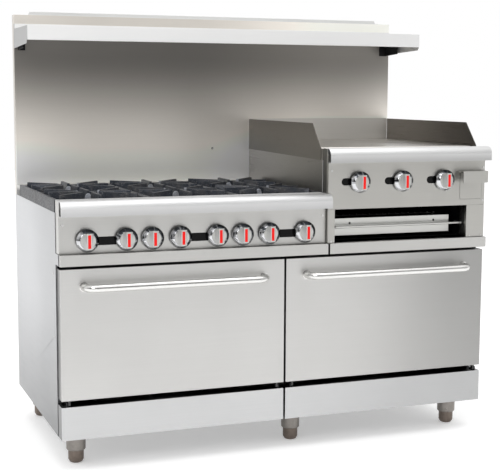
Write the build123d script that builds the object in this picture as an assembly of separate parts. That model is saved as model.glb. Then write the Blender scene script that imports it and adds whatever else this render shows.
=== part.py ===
from build123d import *
import os
from math import atan2, degrees

# Commercial gas range: six open burners, raised griddle with a broiler below it,
# two ovens with drop-down doors, backguard with a high shelf, six legs.
# Working frame while modelling: X = 0 at the outer face of the left side panel,
# Y = 0 at the front edge of the side panels (front is -Y), Z = 0 on the floor.
# Every node is moved to the centred frame when it is written.

# ---------------------------------------------------------------- dimensions
W = 1524.0            # width over the side panels (60 in)
T = 1.5               # sheet thickness
BODY_Z = 106.0        # underside of the body, height of the legs
BACK_Y = 725.6        # outer face of the rear panel
RISER_Y = 693.7       # front face of the backguard
TOP_Z = 829.5         # top edge of the burner section's side
KICK_Y, KICK_TOP = -59.0, 214.0
DOOR_Y, DOOR_BACK_Y = -59.6, -18.6
SKIRT_R = 38.5                  # knob skirt
DOOR_Z0, DOOR_Z1 = 234.5, 655.0
DOOR_L = (1.3, 758.5)
DOOR_R = (765.5, 1522.7)
HINGE_Y, HINGE_Z = -52.0, 224.5       # oven door hinge axis, along X
PIN_R, LUG_BORE_R = 4.0, 4.05
HANDLE_Z, HANDLE_Y, HANDLE_R = 598.0, -105.0, 12.7
HANDLE_HALF = 316.0
OVEN_X = ((44.0, 719.0), (805.0, 1480.0))   # inside of the oven cavities
OVEN_Z = (262.0, 622.0)
OVEN_Y1 = 640.0
LIP_Y, LIP_Z0, LIP_Z1 = -67.6, 665.0, 700.7
LIP_L = (2.0, 915.0)
LIP_R = (922.0, 1530.0)
PANEL_Y = -45.0       # burner control panel, front face
PANEL_X = (2.0, 914.0)
NOSE_Y, NOSE_Z0, NOSE_Z1 = -85.0, 822.0, 870.0
KNOB_X = (91.0, 218.0, 304.0, 398.0, 525.0, 612.0, 706.0, 834.0)
KNOB_Z = 743.0
THERMOSTATS = (2, 5)  # which of the knobs set the ovens
SLOTS = ((112.0, 197.0), (419.0, 504.0), (727.0, 812.0))
SLOT_Z = (726.5, 753.4)
GX0 = 915.0           # left outer face of the griddle section
GPANEL_Y = -60.0
GPANEL_Z = (815.5, 973.0)
GNOSE_Y, GNOSE_Z0, GNOSE_Z1 = -94.0, 974.0, 1022.0
GKNOB_X = (1031.0, 1194.0, 1357.0)
GKNOB_Z = 906.6
GSLOT = (-66.0, -20.0)                # slot ends measured from each griddle knob
GSLOT_Z = (895.6, 920.6)
BROIL_X = (941.0, 1452.5)
BROIL_Z = (705.5, 815.5)
LINER_X = (950.0, 1462.0)
SPLASH_TOP = 1103.0
GRIDDLE_TOP = 1021.0
SHELF_Y0, SHELF_TOP, SHELF_LIP_Z = 435.8, 1433.3, 1384.5
RISER_TOP = 1484.0
CAP_TOP = 1498.0
LEG_X = (69.0, 831.0, 1455.0)
LEG_Y = (53.0, 650.0)
PIPE_R = 13.35        # 3/4 in gas pipe, outside radius
INLET = (30.0, 716.0)
INLET_Y1 = 752.0
INLET_Y0 = 727.0      # start of the threaded end of the supply pipe
THREAD_R = 13.1
GRATE_X = ((0.6, 303.8), (306.0, 608.4), (610.6, 912.6))
GRATE_Y = ((9.0, 316.0), (319.0, 629.0))
GRATE_Z0, GRATE_Z1, GRATE_TIP = 829.5, 870.5, 881.0
LEDGE_Z = 868.0       # top of the rear ledge behind the grates
RIVETS = ((32.0, 630.0), (30.0, 426.0))
RIVET_H = 1.2
# centre of the whole object's box, which becomes X = 0, Y = 0
XC = (LIP_R[1] - RIVET_H) / 2.0
YC = (HANDLE_Y - HANDLE_R + INLET_Y1) / 2.0

os.makedirs("parts", exist_ok=True)
NODES = {}


# ------------------------------------------------------------------- helpers
def box(x0, x1, y0, y1, z0, z1):
    return Pos((x0 + x1) / 2, (y0 + y1) / 2, (z0 + z1) / 2) * Box(abs(x1 - x0), abs(y1 - y0), abs(z1 - z0))


def cyl_z(x, y, r, z0, z1):
    return Pos(x, y, (z0 + z1) / 2) * Cylinder(r, abs(z1 - z0))


def cyl_y(x, z, r, y0, y1):
    return Pos(x, (y0 + y1) / 2, z) * (Rot(90, 0, 0) * Cylinder(r, abs(y1 - y0)))


def cyl_x(y, z, r, x0, x1):
    return Pos((x0 + x1) / 2, y, z) * (Rot(0, 90, 0) * Cylinder(r, abs(x1 - x0)))


def ball(x, y, z, r):
    return Pos(x, y, z) * Sphere(r)


def fuse(items):
    items = list(items)
    out = items[0]
    rest = items[1:]
    return out.fuse(*rest) if rest else out


def group(items):
    """Separate solids that share one node."""
    solids = []
    for i in items:
        solids += i.solids()
    return Compound(children=solids)


def prism_x(points, x0, x1):
    """Polygon in the Y-Z plane, extruded from x0 to x1."""
    w = Polyline(*[(x0, y, z) for y, z in points], close=True)
    f = make_face(w)
    return extrude(f, amount=x1 - x0, dir=(1, 0, 0))


def prism_y(points, y0, y1):
    w = Polyline(*[(x, y0, z) for x, z in points], close=True)
    return extrude(make_face(w), amount=y1 - y0, dir=(0, 1, 0))


def prism_z(points, z0, z1):
    w = Polyline(*[(x, y, z0) for x, y in points], close=True)
    return extrude(make_face(w), amount=z1 - z0, dir=(0, 0, 1))


def rounded_corner(y0, y1, z0, z1, r, x0, x1):
    """Bar along X whose upper front edge (y0, z1) is rounded with radius r."""
    b = box(x0, x1, y0, y1, z0, z1)
    e = [e for e in b.edges().filter_by(Axis.X) if abs(e.center().Y - y0) < 1e-6 and abs(e.center().Z - z1) < 1e-6]
    return fillet(e, r)


def nose(x0, x1, y0, yback, ypanel, z0, z1, r):
    """Rolled front rail: sheet with a rounded top edge and a return flange below."""
    outer = rounded_corner(y0, yback, z0, z1, r, x0, x1)
    inner = rounded_corner(y0 + T, yback + 5, z0 + T, z1 - T, r - T, x0 - 1, x1 + 1)
    s = outer - inner
    s = s - box(x0 - 1, x1 + 1, ypanel, yback + 6, z0 - 5, z1 - T - 0.001)
    return s


def revolve_y(profile, x, z):
    """Profile as (radius, y) points, turned about the line through (x, z) along Y."""
    w = Polyline(*[(r, y, 0) for r, y in profile], close=True)
    s = revolve(make_face(w), Axis((0, 0, 0), (0, 1, 0)), 360)
    return Pos(x, 0, z) * s


def revolve_z(profile, x, y):
    w = Polyline(*[(r, 0, z) for r, z in profile], close=True)
    s = revolve(make_face(w), Axis((0, 0, 0), (0, 0, 1)), 360)
    return Pos(x, y, 0) * s


def round_plate(x0, x1, y0, y1, z0, z1, r):
    b = box(x0, x1, y0, y1, z0, z1)
    return fillet(b.edges().filter_by(Axis.Y), r)


def node(name, shape):
    NODES[name] = shape


# ------------------------------------------------------- cabinet sheet metal
def side_panel(x_out, sgn, top):
    a, b = (x_out, x_out + sgn * T)
    s = box(a, b, 0, BACK_Y - T, BODY_Z, top)
    s = s + box(b, b + sgn * 14, 0, T, BODY_Z + T + 0.5, LIP_Z0 - 3)          # front return flange
    s = s + box(b, b + sgn * 14, BACK_Y - 3 * T, BACK_Y - 2 * T, BODY_Z + T + 0.5, top - 2)
    if sgn > 0:
        s = s + box(a, b, -44.0, 0.5, LIP_Z0, LIP_Z1 + 0.8)                     # closes the end behind the tray front
    for y, z in RIVETS:
        s = s - Pos((a + b) / 2, y, z) * (Rot(0, 90, 0) * Cylinder(2.4, 4 * T))
    return s


node("side_panel_left", side_panel(0.0, 1, TOP_Z))
right = side_panel(W, -1, TOP_Z)
right = right + box(W - T, W, 0, RISER_Y - 0.2, TOP_Z - 1, GNOSE_Z1 - 3)      # the griddle side stands higher
node("side_panel_right", right)

rear = box(0, W, BACK_Y - T, BACK_Y, BODY_Z, TOP_Z)
rear = rear - cyl_y(INLET[0], INLET[1], PIPE_R + 2, BACK_Y - 10, BACK_Y + 10)
for i in range(6):                                                             # ventilation slots
    rear = rear - box(300, 520, BACK_Y - 5, BACK_Y + 5, 300 + 30 * i, 306 + 30 * i)
    rear = rear - box(1004, 1224, BACK_Y - 5, BACK_Y + 5, 300 + 30 * i, 306 + 30 * i)
node("rear_panel", rear)

pan = box(T, W - T, 0, BACK_Y - 3 * T - 0.5, BODY_Z, BODY_Z + T)
pan = pan + box(20, W - 20, 40, 40 + T, BODY_Z + T, BODY_Z + 40) + box(20, W - 20, 690, 690 + T, BODY_Z + T, BODY_Z + 40)
node("base_pan", pan)


def kick(x0, x1):
    s = box(x0, x1, KICK_Y, KICK_Y + T, BODY_Z, KICK_TOP)
    s = s + box(x0, x1, KICK_Y, -6, KICK_TOP - T, KICK_TOP)                    # top flange
    s = s + box(x0, x1, KICK_Y, 0, BODY_Z, BODY_Z + T)                        # bottom flange, meets the base pan
    s = s + box(x0, x0 + T, KICK_Y, -6, BODY_Z, KICK_TOP) + box(x1 - T, x1, KICK_Y, -6, BODY_Z, KICK_TOP)
    return s


node("kick_panel_left", kick(1.0, 758.0))
node("kick_panel_right", kick(765.0, 1523.0))

# ---------------------------------------------------------------------- legs
sleeve_p = [(10.05, 106.0), (32.6, 106.0), (32.0, 46.0), (30.0, 43.0), (10.05, 43.0)]
foot_p = [(0, 0), (15.0, 0), (21.0, 3.0), (25.8, 11.5), (25.8, 42.6), (10.0, 42.6), (10.0, 100.0), (0, 100.0)]
node("leg_sleeves", group([revolve_z(sleeve_p, x, y) for x in LEG_X for y in LEG_Y]))
node("leg_feet", group([revolve_z(foot_p, x, y) for x in LEG_X for y in LEG_Y]))

# --------------------------------------------------------------------- ovens
FRAME_Y = -16.0
fz0, fz1 = KICK_TOP + 0.5, LIP_Z0 - 4
bars = [
    box(2, W - 2, FRAME_Y, -1, OVEN_Z[1], fz1),
    box(2, W - 2, FRAME_Y, -1, 236, OVEN_Z[0]),
    box(2, OVEN_X[0][0], FRAME_Y, -1, OVEN_Z[0], OVEN_Z[1]),
    box(OVEN_X[0][1], OVEN_X[1][0], FRAME_Y, -1, OVEN_Z[0], OVEN_Z[1]),
    box(OVEN_X[1][1], W - 2, FRAME_Y, -1, OVEN_Z[0], OVEN_Z[1]),
]
node("oven_face_frame", group(bars))


def liner(x0, x1):
    z0, z1 = OVEN_Z
    return group([
        box(x0, x1, 0, OVEN_Y1, z0 - T, z0),
        box(x0, x1, 0, OVEN_Y1, z1, z1 + T),
        box(x0 - T, x0, 0, OVEN_Y1, z0 - T, z1 + T),
        box(x1, x1 + T, 0, OVEN_Y1, z0 - T, z1 + T),
        box(x0 - T, x1 + T, OVEN_Y1, OVEN_Y1 + T, z0 - T, z1 + T),
    ])


node("oven_liner_left", liner(*OVEN_X[0]))
node("oven_liner_right", liner(*OVEN_X[1]))

# rack guides: two ladders of bent strip on each side wall
guides = []
for x0, x1 in OVEN_X:
    for z in (330.0, 410.0, 490.0):
        guides.append(box(x0, x0 + 12, 20, 600, z, z + 2))
        guides.append(box(x1 - 12, x1, 20, 600, z, z + 2))


def rack(x0, x1, z):
    rr = 3.0
    a, b, y0, y1 = x0 + 3, x1 - 3, 25.0, 590.0
    parts = [cyl_y(a + rr, z, rr, y0, y1), cyl_y(b - rr, z, rr, y0, y1)]
    for y in (y0 + rr, (y0 + y1) / 2, y1 - rr):
        parts.append(cyl_x(y, z, rr - 0.3, a + rr, b - rr))
    n = 15
    for i in range(1, n):
        x = a + rr + (b - a - 2 * rr) * i / n
        parts.append(cyl_y(x, z + 3.2, 2.2, y0 - 2.0, y1 + 2.0))
    return fuse(parts)


node("oven_racks", group([rack(*OVEN_X[0], 412.0 + 3.0), rack(*OVEN_X[1], 412.0 + 3.0)]))

burners = []
for x0, x1 in OVEN_X:
    xc = (x0 + x1) / 2
    burners.append(cyl_y(xc, 180.0, 22.0, 30.0, 560.0) - cyl_y(xc, 180.0, 20.0, 20.0, 555.0))
node("oven_burners", group(burners))

# --------------------------------------------------------------------- doors
def door_outer(x0, x1):
    s = box(x0, x1, DOOR_Y, -34.0, DOOR_Z0, DOOR_Z1)
    s = s - box(x0 + T, x1 - T, DOOR_Y + T, -30.0, DOOR_Z0 + T, DOOR_Z1 - T)
    e = [e for e in s.edges().filter_by(Axis.Z) if abs(e.center().Y - DOOR_Y) < 1e-6]
    s = chamfer(e, 0.6)
    return s


def door_inner(x0, x1):
    s = box(x0, x1, -34.0, DOOR_BACK_Y, DOOR_Z0, DOOR_Z1)
    s = s - box(x0 + T, x1 - T, -34.1, DOOR_BACK_Y - T, DOOR_Z0 + T, DOOR_Z1 - T)
    # hinge lugs below the door
    for lx in (x0 + 22, x1 - 28):
        lug = box(lx, lx + 6, HINGE_Y - 6.0, HINGE_Y + 6.0, HINGE_Z, DOOR_Z0) + cyl_x(HINGE_Y, HINGE_Z, 7.0, lx, lx + 6)
        lug = lug - cyl_x(HINGE_Y, HINGE_Z, LUG_BORE_R, lx - 1, lx + 7)
        strap = box(lx, lx + 6, HINGE_Y - 6.0, -34.0, DOOR_Z0 - 2.5, DOOR_Z0)
        strap = strap - cyl_x(HINGE_Y, HINGE_Z, LUG_BORE_R, lx - 1, lx + 7)
        tie = box(lx, lx + 6, -34.0, -30.0, DOOR_Z0 - 2.5, DOOR_Z0 + 1.0)
        s = s + lug + strap + tie
    return s


node("door_outer_left", door_outer(*DOOR_L))
node("door_outer_right", door_outer(*DOOR_R))
node("door_inner_left", door_inner(*DOOR_L))
node("door_inner_right", door_inner(*DOOR_R))


def handle(xc):
    a, b = xc - HANDLE_HALF + HANDLE_R, xc + HANDLE_HALF - HANDLE_R
    path = FilletPolyline((a, DOOR_Y, HANDLE_Z), (a, HANDLE_Y, HANDLE_Z), (b, HANDLE_Y, HANDLE_Z), (b, DOOR_Y, HANDLE_Z), radius=34.0)
    prof = Plane(origin=(a, DOOR_Y, HANDLE_Z), z_dir=(0, -1, 0)) * Circle(HANDLE_R)
    s = sweep(prof, path=path)
    for x in (a, b):
        s = s + cyl_y(x, HANDLE_Z, 15.5, DOOR_Y - 2.0, DOOR_Y)
    return s


DOOR_CX = (381.0, 1143.0)
node("door_handle_left", handle(DOOR_CX[0]))
node("door_handle_right", handle(DOOR_CX[1]))

# hinge brackets on top of the kick panels, each carrying a pin through a door lug
br = []
for x0, x1 in (DOOR_L, DOOR_R):
    for lx, out in ((x0 + 22, -1), (x1 - 28, 1)):
        p0, p1 = (lx - 5.5, lx - 0.5) if out < 0 else (lx + 6.5, lx + 11.5)
        ear = box(p0, p1, HINGE_Y - 6.0, HINGE_Y + 6.0, KICK_TOP, HINGE_Z) + cyl_x(HINGE_Y, HINGE_Z, 6.0, p0, p1)
        base = box(p0, p1, HINGE_Y - 6.0, HINGE_Y + 26, KICK_TOP, KICK_TOP + 4)
        pin = cyl_x(HINGE_Y, HINGE_Z, PIN_R, p1, lx + 8) if out < 0 else cyl_x(HINGE_Y, HINGE_Z, PIN_R, lx - 2, p0)
        br.append(fuse([ear, base, pin]))
node("hinge_brackets", group(br))


# ------------------------------------------------------- burner control panel
cp = box(PANEL_X[0], PANEL_X[1], PANEL_Y, PANEL_Y + T, LIP_Z1 + 1.0, NOSE_Z1 - 10)
cp = cp + box(PANEL_X[0], PANEL_X[1], PANEL_Y, -27.0, LIP_Z1 + 1.0, LIP_Z1 + 1.0 + T)
cp = cp + box(PANEL_X[0], PANEL_X[0] + T, PANEL_Y, 0, LIP_Z1 + 1.0, NOSE_Z1 - T - 0.1)     # end cheek
cp = cp + box(PANEL_X[0], PANEL_X[0] + T, PANEL_Y - 10, PANEL_Y, NOSE_Z0 + T + 0.1, NOSE_Z1 - T - 0.1)
cp = cp + box(PANEL_X[1] - T, PANEL_X[1], PANEL_Y, 0, LIP_Z1 + 1.0, NOSE_Z0 - 2)
for x in KNOB_X:
    cp = cp - cyl_y(x, KNOB_Z, 6.0, PANEL_Y - 5, PANEL_Y + 5)
for a, b in SLOTS:
    cp = cp - box(a, b, PANEL_Y - 5, PANEL_Y + 5, SLOT_Z[0], SLOT_Z[1])
node("control_panel", cp)
rail = nose(PANEL_X[0], 922.5, NOSE_Y, 4.0, PANEL_Y - 0.1, NOSE_Z0, NOSE_Z1, 24.0)
rail = rail - box(913.5, 930.0, GPANEL_Y - 0.5, 20.0, NOSE_Z0 - 10, NOSE_Z1 + 10)        # laps over the griddle front
node("bullnose_rail", rail)

# burner box: walls, two dividers and the ledge behind the grates
bz0, bz1 = 735.0, TOP_Z
bb = [
    box(2.0, 913.0, 5.0, 5.0 + T, bz0, bz1),
    box(2.0, 2.0 + T, 5.0 + T, 691.0, bz0, bz1),
    box(911.5, 913.0, 5.0 + T, 691.0, bz0, bz1),
    box(2.0 + T, 911.5, 632.0, 691.0, bz1 - T, bz1),
    # raised ledge behind the grates
    box(0.0, 913.0, 630.5, RISER_Y - 0.2, LEDGE_Z - T, LEDGE_Z),
    box(0.0, 913.0, 630.5, 632.0, bz1, LEDGE_Z - T),
    box(0.0, T, 632.0, RISER_Y - 0.2, bz1, LEDGE_Z - T),
    box(303.0, 306.8, 5.0 + T, 632.0, bz1 - 30, bz1 - T),
    box(607.6, 611.4, 5.0 + T, 632.0, bz1 - 30, bz1 - T),
    box(300.0, 309.8, 5.0 + T, 632.0, bz1 - T, bz1),
    box(604.6, 614.4, 5.0 + T, 632.0, bz1 - T, bz1),
]
node("burner_box", group(bb))

# cast iron top grates: a square rim and eight fingers that point at the burner;
# every finger stands a little above the rim at its outer end


def grate(x0, x1, y0, y1):
    xc, yc = (x0 + x1) / 2, (y0 + y1) / 2
    rw = 10.0
    z0, z1, zt = GRATE_Z0, GRATE_Z1, GRATE_TIP
    rim = box(x0, x1, y0, y1, z0, z1) - box(x0 + rw, x1 - rw, y0 + rw, y1 - rw, z0 - 1, z1 + 1)
    rim = rim - box(x0 + rw, x1 - rw, y0 - 1, y1 + 1, z0 - 1, z0 + 12) - box(x0 + rw, x1 - rw, y0 - 1, y1 + 1, z1 - 4, z1 + 1)
    parts = [rim]

    def bar(px, py, qx, qy, w0, w1, za, zb, inner):
        """Tapered bar from (px, py) to (qx, qy); its underside rises toward the inner end."""
        dx, dy = qx - px, qy - py
        ln = (dx * dx + dy * dy) ** 0.5
        sec = Polyline((0, -w0, za), (0, w0, za), (0, w1, zb), (0, -w1, zb), close=True)
        f = extrude(make_face(sec), amount=ln, dir=(1, 0, 0))
        if inner:
            cut = prism_y([(ln * 0.45, za - 1), (ln + 1, za - 1), (ln + 1, za + 14), (ln * 0.8, za + 10)], -30, 30)
            f = f - cut
        return Pos(px, py, 0) * (Rot(0, 0, degrees(atan2(dy, dx))) * f)

    for sx in (-1, 1):
        ex = xc + sx * ((x1 - x0) / 2 - 14.0)
        parts.append(bar(ex, yc, xc + sx * 30, yc, 7.5, 4.5, z0 + 13.2, zt, True))
        parts.append(bar(xc + sx * ((x1 - x0) / 2 - 4), yc, ex - sx * 6, yc, 6.4, 5.2, z0 + 13.7, z1 - 5.5, False))
        for sy in (-1, 1):
            cx, cy = xc + sx * ((x1 - x0) / 2 - 25.0), yc + sy * ((y1 - y0) / 2 - 25.0)
            parts.append(bar(cx, cy, xc + sx * 37, yc + sy * 37, 7.5, 4.5, z0 + 13.2, zt, True))
            parts.append(bar(xc + sx * ((x1 - x0) / 2 - 6), yc + sy * ((y1 - y0) / 2 - 6), cx - sx * 6, cy - sy * 6, 6.4, 5.2, z0 + 13.7, z1 - 5.5, False))
    for sy in (-1, 1):
        ey = yc + sy * ((y1 - y0) / 2 - 14.0)
        parts.append(bar(xc, ey, xc, yc + sy * 30, 7.5, 4.5, z0 + 13.2, zt, True))
        parts.append(bar(xc, yc + sy * ((y1 - y0) / 2 - 4), xc, ey - sy * 6, 6.4, 5.2, z0 + 13.7, z1 - 5.5, False))
    return fuse(parts)


node("top_grates", group([grate(x0, x1, y0, y1) for x0, x1 in GRATE_X for y0, y1 in GRATE_Y]))

heads, vents = [], []
cols = [sum(g) / 2 for g in GRATE_X]
rows = [sum(g) / 2 for g in GRATE_Y]
front_knobs = (91.0, 398.0, 706.0)
rear_knobs = (218.0, 525.0, 834.0)
hp = [(0, 792.0), (18.0, 792.0), (18.0, 800.0), (50.0, 806.0), (50.0, 820.0), (44.0, 822.0), (44.0, 826.0), (42.0, 834.0), (30.0, 838.0), (0, 838.0)]
for ci, xc in enumerate(cols):
    for ri, yc in enumerate(rows):
        heads.append(revolve_z(hp, xc, yc))
        kx = (front_knobs if ri == 0 else rear_knobs)[ci]
        z = 772.0
        parts = [cyl_y(kx, z, 14.0, 20.0, yc), ball(kx, yc, z, 14.0), cyl_x(yc, z, 14.0, min(kx, xc), max(kx, xc)), ball(xc, yc, z, 14.0), cyl_z(xc, yc, 14.0, z, 792.0)]
        vents.append(fuse(parts))
node("burner_heads", group(heads))
node("burner_venturis", group(vents))

# gas supply: burner manifold, griddle manifold, supply pipe to the rear inlet
my, mz = -10.0, 716.0
gmy, gmz = -24.0, 878.0
man = fuse([
    cyl_x(my, mz, PIPE_R, INLET[0], 905.0), ball(INLET[0], my, mz, PIPE_R), cyl_y(INLET[0], INLET[1], PIPE_R, my, INLET_Y0), cyl_y(INLET[0], INLET[1], THREAD_R, INLET_Y0 - 5.0, INLET_Y1),
])
gman = fuse([cyl_x(gmy, gmz, PIPE_R, 935.0, 1400.0), ball(935.0, gmy, gmz, PIPE_R), cyl_z(935.0, gmy, PIPE_R, 830.0, gmz)])
node("gas_manifold", group([man, gman]))

VALVE_BACK = 30.0


def valve(x, z, face_y, pipe_z, pipe_top):
    y0 = face_y + 6.0
    s = box(x - 11, x + 11, y0, y0 + VALVE_BACK, z - 10.0, z + 12.0)
    s = s + cyl_y(x, z, 9.0, y0 - 3.0, y0)
    s = s - cyl_y(x, z, 4.05, y0 - 4.0, y0 + 16.0)
    s = s + cyl_z(x, y0 + 22, 7.0, pipe_top, z - 10.0)
    return s


valves = [valve(x, KNOB_Z, PANEL_Y + T, mz, mz + PIPE_R - 1.8) for x in KNOB_X]
valves += [valve(x, GKNOB_Z, GPANEL_Y + T, gmz, gmz + PIPE_R - 1.8) for x in GKNOB_X]
for i, v in enumerate(valves):
    valves[i] = v - (cyl_x(my, mz, PIPE_R, 20, 905.0) if i < len(KNOB_X) else cyl_x(gmy, gmz, PIPE_R, 935.0, 1400.0))
node("gas_valves", group(valves))


# --------------------------------------------------------------------- knobs
def knob(x, z, py):
    skirt = revolve_y([(0, py - 1.5), (SKIRT_R - 1.0, py - 1.5), (SKIRT_R, py - 2.5), (SKIRT_R, py - 6.0), (31.0, py - 15.0), (29.0, py - 16.5), (0, py - 16.5)], x, z)
    grip = box(x - 8, x + 8, py - 42.0, py - 16.0, z - 26.0, z + 26.0)
    e = [e for e in grip.edges() if abs(e.center().Y - (py - 42.0)) < 1e-3]
    grip = fillet(e, 2.0)
    stem = cyl_y(x, z, 4.0, py - 2.0, py + 19.0)
    return fuse([skirt, grip, stem])


for i, x in enumerate(KNOB_X):
    name = "burner_knob_%d" % (i + 1)
    if i in THERMOSTATS:
        name = "oven_thermostat_knob_%s" % ("left" if i == THERMOSTATS[0] else "right")
    elif i > THERMOSTATS[1]:
        name = "burner_knob_%d" % (i - 1)
    elif i > THERMOSTATS[0]:
        name = "burner_knob_%d" % i
    node(name, knob(x, KNOB_Z, PANEL_Y))
for i, x in enumerate(GKNOB_X):
    node("griddle_knob_%d" % (i + 1), knob(x, GKNOB_Z, GPANEL_Y))


# ----------------------------------------------------------- griddle section
gp = box(GX0 + 1.0, W, GPANEL_Y, GPANEL_Y + T, GPANEL_Z[0], GPANEL_Z[1] + 30)
gp = gp + box(GX0 + 1.0, GX0 + 1.0 + T, GPANEL_Y, -16.5, GPANEL_Z[0] + 52, GPANEL_Z[1] + 1)
gp = gp + box(GX0 + 1.0, GX0 + 1.0 + T, -51.8, -16.5, GPANEL_Z[1], GNOSE_Z1 - 1.0)              # closes the corner behind the nose
gp = gp + box(W - T, W, GPANEL_Y, -0.5, GPANEL_Z[0], GPANEL_Z[1] + 1)
gp = gp + box(GX0 + 1.0, W, GPANEL_Y, 0, GPANEL_Z[0], GPANEL_Z[0] + T)
for x in GKNOB_X:
    gp = gp - cyl_y(x, GKNOB_Z, 6.0, GPANEL_Y - 5, GPANEL_Y + 5)
    a, b = x + GSLOT[0], x + GSLOT[1]
    zc, r = (GSLOT_Z[0] + GSLOT_Z[1]) / 2, (GSLOT_Z[1] - GSLOT_Z[0]) / 2
    gp = gp - (box(a + r, b, GPANEL_Y - 5, GPANEL_Y + 5, GSLOT_Z[0], GSLOT_Z[1]) + cyl_y(a + r, zc, r, GPANEL_Y - 5, GPANEL_Y + 5))
DR_X = (1424.0, 1511.5)
DR_Z = (837.0, 933.0)
gp = gp - round_plate(DR_X[0] - 0.8, DR_X[1] + 0.8, GPANEL_Y - 5, GPANEL_Y + 5, DR_Z[0] - 0.8, DR_Z[1] + 0.8, 8.0)
node("griddle_panel", gp)

posts = [
    fuse([box(GX0 + 1.0, BROIL_X[0], GPANEL_Y, GPANEL_Y + T, LIP_Z1 + 1, GPANEL_Z[0] - 0.2), box(BROIL_X[0] - T, BROIL_X[0], GPANEL_Y, -2.0, LIP_Z1 + 1, GPANEL_Z[0] - 0.2), box(GX0 + 1.0, GX0 + 1.0 + T, GPANEL_Y, -0.5, LIP_Z1 + 1, GPANEL_Z[0] - 0.2)]),
    fuse([box(BROIL_X[1], W, GPANEL_Y, GPANEL_Y + T, LIP_Z1 + 1, GPANEL_Z[0] - 0.2), box(BROIL_X[1], BROIL_X[1] + T, GPANEL_Y, GPANEL_Y + 14, LIP_Z1 + 1, GPANEL_Z[0] - 0.2), box(W - T, W, GPANEL_Y, -0.5, LIP_Z1 + 1, GPANEL_Z[0] - 0.2)]),
]
node("broiler_posts", group(posts))
node("griddle_bullnose", nose(GX0 - 6.0, 1529.5, GNOSE_Y, -52.0, GPANEL_Y - 0.1, GNOSE_Z0, GNOSE_Z1, 24.0))
gs = box(GX0, GX0 + T, -16.0, 690.0, NOSE_Z1 + 1.0, GNOSE_Z1 - 3)
gs = gs + box(GX0, GX0 + T, 5.0, 690.0, LIP_Z1 + 2, NOSE_Z1 + 1.0)
node("griddle_side_left", gs)


def splash(x0, x1, zb):
    pts = [(0, zb + 4), (0, 1024.0), (70.0, SPLASH_TOP), (690.0, SPLASH_TOP), (690.0, zb + 6), (14.0, zb), (4.0, zb + 1)]
    return prism_x(pts, x0, x1)


node("splash_left", splash(GX0 - 2.0, GX0, 980.0))
node("splash_right", splash(W - T - 2.0, W - T, 1000.0))
node("splash_rear", box(GX0 + 2.0, W - T - 2.5, 690.2, 692.2, 1000.0, 1105.0))
gpl = box(GX0 + 5, W - 7, 28.0, 688.0, GRIDDLE_TOP - 20, GRIDDLE_TOP)
gpl = chamfer([e for e in gpl.edges().filter_by(Axis.X) if abs(e.center().Y - 28) < 1e-6 and e.center().Z > GRIDDLE_TOP - 1], 3.0)
node("griddle_plate", gpl)
tx0, tx1 = GX0 + 5, W - 7
node("grease_trough", group([
    box(tx0, tx1, -50.0, 26.0, 996.0, 996.0 + T) - box(1430, 1500, -45.0, 10.0, 990, 1000),
    box(tx0, tx1, -51.5, -50.0, 996.0, GRIDDLE_TOP - 1),
    box(tx0, tx1, 26.0, 27.5, 996.0, GRIDDLE_TOP - 4),
    # chute down to the grease drawer
    box(1430, 1500, -46.5, -45.0, 897.0, 996.0), box(1430, 1500, 10.0, 11.5, 897.0, 996.0),
    box(1428.5, 1430, -46.5, 11.5, 897.0, 996.0), box(1500, 1501.5, -46.5, 11.5, 897.0, 996.0),
]))
node("griddle_burners", group([cyl_y(x, 955.0, 19.0, 20.0, 640.0) - cyl_y(x, 955.0, 17.0, 10.0, 632.0) for x in GKNOB_X]))
# broiler cavity under the griddle
lx0, lx1 = LINER_X
lz0, lz1 = LIP_Z1 + 3, BROIL_Z[1] + 14
node("broiler_liner", group([
    box(lx0 - T, lx0, 0, 560, lz0, lz1), box(lx1, lx1 + T, 0, 560, lz0, lz1),
    box(lx0, lx1, 0, 560, lz0, lz0 + T), box(lx0, lx1, 0, 560, lz1 - T, lz1),
    box(lx0 - T, lx1 + T, 560, 560 + T, lz0, lz1),
]))
broiler_runners = [box(lx0, lx0 + 14, 10, 540, 744.2, 746.2), box(lx1 - 22, lx1, 10, 540, 744.2, 746.2)]


# pull-out broiler rack: rod frame with a front plate and a pull rod
def broiler_rack():
    z = 750.5
    rr = 4.0
    a, b = 959.0, 1447.0
    parts = [cyl_x(-30.0, z, rr, a, b)]
    for x in (a, b):
        parts += [ball(x, -30.0, z, rr + 0.3), cyl_y(x, z, rr, -30.0, 530.0)]
    parts += [cyl_x(520.0, z, 3.5, a, b), cyl_x(60.0, z, 3.5, a, b)]
    parts += [cyl_x(100.0, 775.0, 3.0, 990, 1410), cyl_x(500.0, 775.0, 3.0, 990, 1410)]
    for x in (992.0, 1408.0):
        for y in (100.0, 500.0):
            parts.append(cyl_z(x, y, 2.6, z, 775.0))
        parts.append(cyl_y(x, z, 3.0, 1.0, 520.0))
    n = 17
    for i in range(n):
        x = 992.0 + (1408.0 - 992.0) * i / (n - 1)
        parts.append(cyl_y(x, 778.5, 2.8, 92.0, 508.0))
    plate = box(969.0, 1416.0, 0, 2.0, 718.5, 777.0)
    for hx in (1025.7, 1354.7):
        plate = plate - cyl_y(hx, 760.0, 4.0, -5, 5)
    parts.append(plate)
    return fuse(parts)


node("broiler_rack", broiler_rack())

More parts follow.
